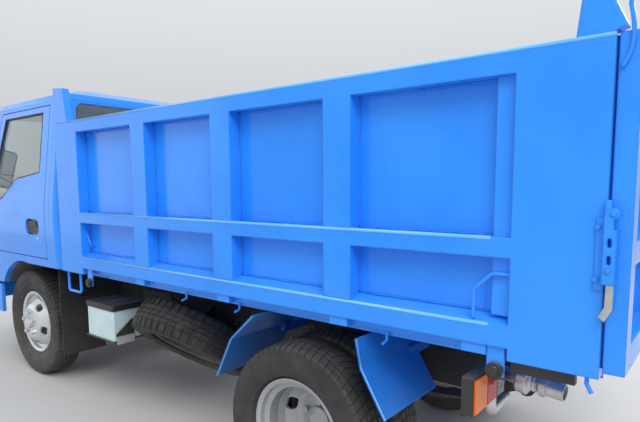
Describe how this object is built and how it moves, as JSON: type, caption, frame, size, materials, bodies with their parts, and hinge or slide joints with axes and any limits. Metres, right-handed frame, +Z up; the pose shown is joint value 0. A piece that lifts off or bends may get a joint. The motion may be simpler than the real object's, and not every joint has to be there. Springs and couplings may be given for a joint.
{
  "type": "tipping truck",
  "caption": "Light forward-control tipping truck: tilting cab, ribbed steel body on a hoist, top-hung tailgate, steered front axle and paired rear wheels.",
  "frame": {"origin": "on the ground below the middle of the whole truck", "axes": "+X forward along the truck, +Y to its left, +Z up"},
  "size_m": [4.6899, 2.01, 1.9399],
  "materials": {
    "blue_paint": "gloss",
    "frame_black": "satin",
    "dark_steel": "matt",
    "cast_metal": "matt",
    "tank_grey": "satin",
    "pale_plastic": "satin",
    "black_plastic": "satin",
    "tyre": "matt",
    "wheel_silver": "satin",
    "exhaust_steel": "satin",
    "lamp_red": "gloss",
    "window_glass": "gloss",
    "lamp_clear": "gloss",
    "seat_vinyl": "satin",
    "lever_grey": "satin",
    "trim_grey": "satin",
    "hoist_paint": "satin",
    "rod_chrome": "gloss"
  },
  "bodies": {
    "chassis": {"frame_rails": "frame_black", "cross_members": "frame_black", "frame_brackets": "frame_black", "front_axle": "dark_steel", "rear_axle": "dark_steel", "leaf_springs": "dark_steel", "engine": "cast_metal", "propeller_shaft": "dark_steel", "fuel_tank": "tank_grey", "battery_case": "pale_plastic", "battery_tray": "black_plastic", "spare_tyre": "tyre", "spare_rim": "wheel_silver", "mudguards": "blue_paint", "splash_guards": "black_plastic", "exhaust": "exhaust_steel", "tail_lamps": "lamp_red", "bumper": "blue_paint"},
    "cab": {"cab_roof": "blue_paint", "cab_rear": "blue_paint", "cab_front": "blue_paint", "cab_sides": "blue_paint", "cab_floor": "blue_paint", "cab_glass": "window_glass", "grille": "black_plastic", "headlamps": "lamp_clear", "seats": "seat_vinyl", "dashboard": "trim_grey", "mirrors": "black_plastic"},
    "door_left": {"door_left": "blue_paint", "door_glass_left": "window_glass"},
    "door_right": {"door_right": "blue_paint", "door_glass_right": "window_glass"},
    "steering_wheel": {"steering_wheel": "black_plastic"},
    "knuckle_left": {"knuckle_left": "dark_steel"},
    "knuckle_right": {"knuckle_right": "dark_steel"},
    "tie_rod": {"tie_rod": "dark_steel"},
    "front_wheel_left": {"front_tyre_left": "tyre", "front_rim_left": "wheel_silver"},
    "front_wheel_right": {"front_tyre_right": "tyre", "front_rim_right": "wheel_silver"},
    "rear_wheels_left": {"rear_tyres_left": "tyre", "rear_rims_left": "wheel_silver"},
    "rear_wheels_right": {"rear_tyres_right": "tyre", "rear_rims_right": "wheel_silver"},
    "bed": {"bed_floor": "blue_paint", "bed_bearers": "blue_paint", "bed_sills": "blue_paint", "bed_sides": "blue_paint", "bed_headboard": "blue_paint", "bed_fittings": "blue_paint", "latch_levers": "lever_grey", "marker_lamps": "black_plastic"},
    "tailgate": {"tailgate": "blue_paint"},
    "hoist_barrel": {"hoist_barrel": "hoist_paint"},
    "hoist_rod": {"hoist_rod": "rod_chrome"}
  },
  "joints": [
    {"name": "cab_tilt", "type": "hinge", "parent": "chassis", "child": "cab", "pos_m": [2.265, 0, 0.56], "axis": [0, 1, 0], "range_deg": [0, 45]},
    {"name": "door_left_swing", "type": "hinge", "parent": "cab", "child": "door_left", "pos_m": [1.8925, 0.79, 1], "axis": [0, 0, -1], "range_deg": [0, 65]},
    {"name": "door_right_swing", "type": "hinge", "parent": "cab", "child": "door_right", "pos_m": [1.8925, -0.79, 1], "axis": [0, 0, 1], "range_deg": [0, 65]},
    {"name": "steering_wheel_turn", "type": "hinge", "parent": "cab", "child": "steering_wheel", "pos_m": [1.7, -0.36, 1.26], "axis": [-0.5, 0, 0.866], "range_deg": [-545, 545]},
    {"name": "steer_left", "type": "hinge", "parent": "chassis", "child": "knuckle_left", "pos_m": [1.35, 0.545, 0.372], "axis": [0, 0, 1], "range_deg": [-33, 33]},
    {"name": "steer_right", "type": "hinge", "parent": "chassis", "child": "knuckle_right", "pos_m": [1.35, -0.545, 0.372], "axis": [0, 0, 1], "range_deg": [-33, 33]},
    {"name": "tie_rod_pivot", "type": "hinge", "parent": "knuckle_left", "child": "tie_rod", "pos_m": [1.2, 0.545, 0.312], "axis": [0, 0, 1], "range_deg": [-33, 33]},
    {"name": "front_wheel_left_spin", "type": "hinge", "parent": "knuckle_left", "child": "front_wheel_left", "pos_m": [1.35, 0.65, 0.372], "axis": [0, 1, 0], "continuous": true},
    {"name": "front_wheel_right_spin", "type": "hinge", "parent": "knuckle_right", "child": "front_wheel_right", "pos_m": [1.35, -0.65, 0.372], "axis": [0, 1, 0], "continuous": true},
    {"name": "rear_wheels_left_spin", "type": "hinge", "parent": "chassis", "child": "rear_wheels_left", "pos_m": [-1.18, 0.6475, 0.354], "axis": [0, 1, 0], "continuous": true},
    {"name": "rear_wheels_right_spin", "type": "hinge", "parent": "chassis", "child": "rear_wheels_right", "pos_m": [-1.18, -0.6475, 0.354], "axis": [0, 1, 0], "continuous": true},
    {"name": "bed_tip", "type": "hinge", "parent": "chassis", "child": "bed", "pos_m": [-1.96, 0, 0.715], "axis": [0, -1, 0], "range_deg": [0, 50]},
    {"name": "tailgate_swing", "type": "hinge", "parent": "bed", "child": "tailgate", "pos_m": [-2.27, 0, 1.865], "axis": [0, 1, 0], "range_deg": [0, 80]},
    {"name": "hoist_swing", "type": "hinge", "parent": "chassis", "child": "hoist_barrel", "pos_m": [-1.83, 0, 0.45], "axis": [0, -1, 0], "range_deg": [0, 34.3]},
    {"name": "hoist_extend", "type": "slide", "parent": "hoist_barrel", "child": "hoist_rod", "axis": [0.701, 0, 0.7131], "range_m": [0, 0.2097]}
  ],
  "couplings": [
    {"joint": "steer_right", "follows": "steer_left", "ratio": 1},
    {"joint": "tie_rod_pivot", "follows": "steer_left", "ratio": -1},
    {"joint": "steering_wheel_turn", "follows": "steer_left", "ratio": 16.4},
    {"joint": "hoist_swing", "follows": "bed_tip", "ratio": 0.6851},
    {"joint": "hoist_extend", "follows": "bed_tip", "m_per_rad": 0.2402}
  ]
}
